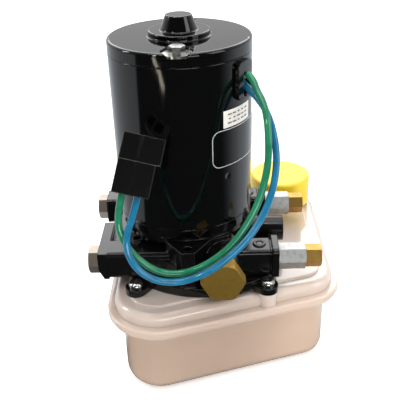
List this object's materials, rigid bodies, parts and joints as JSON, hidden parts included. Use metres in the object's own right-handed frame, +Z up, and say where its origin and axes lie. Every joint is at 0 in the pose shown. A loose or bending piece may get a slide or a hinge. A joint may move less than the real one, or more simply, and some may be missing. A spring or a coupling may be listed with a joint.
{
  "type": "power trim pump",
  "caption": "electric hydraulic pump for a boat drive: upright motor on a cast valve body over a moulded oil reservoir, with line fittings, relief cap and a two-wire lead",
  "frame": {"origin": "on the motor shaft's axis, in the plane of the reservoir's base", "axes": "+Z up along the motor shaft; -Y is the front, with the loose lead and the relief cap; +X is the side of the line fittings and the filler cap"},
  "size_m": [0.153, 0.1625, 0.2107],
  "materials": {
    "tank_plastic": "milky satin",
    "cap_plastic": "satin yellow",
    "black_paint": "gloss black paint",
    "cast_paint": "gloss black paint on a casting",
    "brass": "turned brass",
    "zinc_steel": "bright zinc plate",
    "steel": "ground steel",
    "cast_aluminium": "as cast and machined",
    "spring_steel": "drawn wire",
    "rubber": "moulded rubber",
    "bronze": "sintered bronze",
    "copper": "varnished copper",
    "ferrite": "pressed ferrite",
    "carbon": "pressed carbon",
    "brush_board": "phenolic board",
    "plug_plastic": "black nylon",
    "green_wire": "soft insulation",
    "blue_wire": "soft insulation"
  },
  "bodies": {
    "pump": {"reservoir": "tank_plastic", "valve_body": "cast_paint", "end_plugs": "zinc_steel", "fitting_washers": "zinc_steel", "line_fittings": "zinc_steel", "line_nuts": "brass", "passage_plugs": "cast_paint", "port_plug": "steel", "relief_collar": "zinc_steel", "relief_cap": "brass", "check_seats": "steel", "relief_seats": "steel", "motor_can": "black_paint", "motor_end_cap": "black_paint", "drive_end_plate": "black_paint", "through_bolts": "zinc_steel", "wire_grommet": "cast_paint", "upper_bush": "bronze", "lower_bearing": "steel", "shaft_seal": "rubber", "field_magnets": "ferrite", "brush_holder": "brush_board", "carbon_brushes": "carbon", "brush_springs": "spring_steel", "pump_housing": "cast_aluminium", "pump_cover": "cast_aluminium", "pump_bolts": "steel", "intake_filter": "bronze", "reservoir_seal": "rubber", "tank_screws": "zinc_steel", "wire_green": "green_wire", "wire_blue": "blue_wire", "connector_housing": "plug_plastic", "connector_terminals": "copper"},
    "rotor": {"motor_shaft": "steel", "armature_core": "steel", "armature_windings": "copper", "commutator": "copper", "shaft_coupling": "steel", "drive_gear": "steel"},
    "driven_gear": {"driven_gear": "steel"},
    "shuttle_spool": {"shuttle_spool": "steel"},
    "check_poppet_left": {"check_poppet_left": "steel", "check_spring_left": "spring_steel"},
    "check_poppet_right": {"check_poppet_right": "steel", "check_spring_right": "spring_steel"},
    "line_relief_poppet_left": {"line_relief_poppet_left": "steel", "line_relief_spring_left": "spring_steel"},
    "line_relief_poppet_right": {"line_relief_poppet_right": "steel", "line_relief_spring_right": "spring_steel"},
    "relief_poppet": {"relief_poppet": "steel", "relief_spring": "spring_steel"},
    "cap_gasket": {"cap_gasket": "rubber"},
    "filler_cap": {"filler_cap": "cap_plastic"}
  },
  "joints": [
    {"name": "rotor_turn", "type": "hinge", "parent": "pump", "child": "rotor", "pos_m": [0, 0, 0.1], "axis": [0, 0, 1], "continuous": true},
    {"name": "driven_gear_turn", "type": "hinge", "parent": "pump", "child": "driven_gear", "pos_m": [0.018, 0, 0.045], "axis": [0, 0, 1], "continuous": true},
    {"name": "shuttle_slide", "type": "slide", "parent": "pump", "child": "shuttle_spool", "axis": [1, 0, 0], "range_m": [-0.0015, 0.0015]},
    {"name": "check_poppet_left_lift", "type": "slide", "parent": "pump", "child": "check_poppet_left", "axis": [-1, 0, 0], "range_m": [0, 0.0015], "stiffness_N_per_m": 200, "springref_m": -0.003, "deforming": ["check_spring_left"]},
    {"name": "check_poppet_right_lift", "type": "slide", "parent": "pump", "child": "check_poppet_right", "axis": [1, 0, 0], "range_m": [0, 0.0015], "stiffness_N_per_m": 200, "springref_m": -0.003, "deforming": ["check_spring_right"]},
    {"name": "line_relief_poppet_left_lift", "type": "slide", "parent": "pump", "child": "line_relief_poppet_left", "axis": [-1, 0, 0], "range_m": [0, 0.0015], "stiffness_N_per_m": 200, "springref_m": -0.003, "deforming": ["line_relief_spring_left"]},
    {"name": "line_relief_poppet_right_lift", "type": "slide", "parent": "pump", "child": "line_relief_poppet_right", "axis": [1, 0, 0], "range_m": [0, 0.0015], "stiffness_N_per_m": 200, "springref_m": -0.003, "deforming": ["line_relief_spring_right"]},
    {"name": "relief_poppet_lift", "type": "slide", "parent": "pump", "child": "relief_poppet", "axis": [0, -1, 0], "range_m": [0, 0.0015], "stiffness_N_per_m": 200, "springref_m": -0.003, "deforming": ["relief_spring"]},
    {"name": "cap_lift", "type": "slide", "parent": "pump", "child": "cap_gasket", "axis": [0, 0, 1], "range_m": [0, 0.0121]},
    {"name": "cap_turn", "type": "hinge", "parent": "cap_gasket", "child": "filler_cap", "pos_m": [0.065, 0.065, 0.07], "axis": [0, 0, 1], "range_deg": [0, 1080]}
  ],
  "couplings": [
    {"joint": "driven_gear_turn", "follows": "rotor_turn", "ratio": -1},
    {"joint": "cap_lift", "follows": "cap_turn", "m_per_rad": 0.00063662}
  ]
}
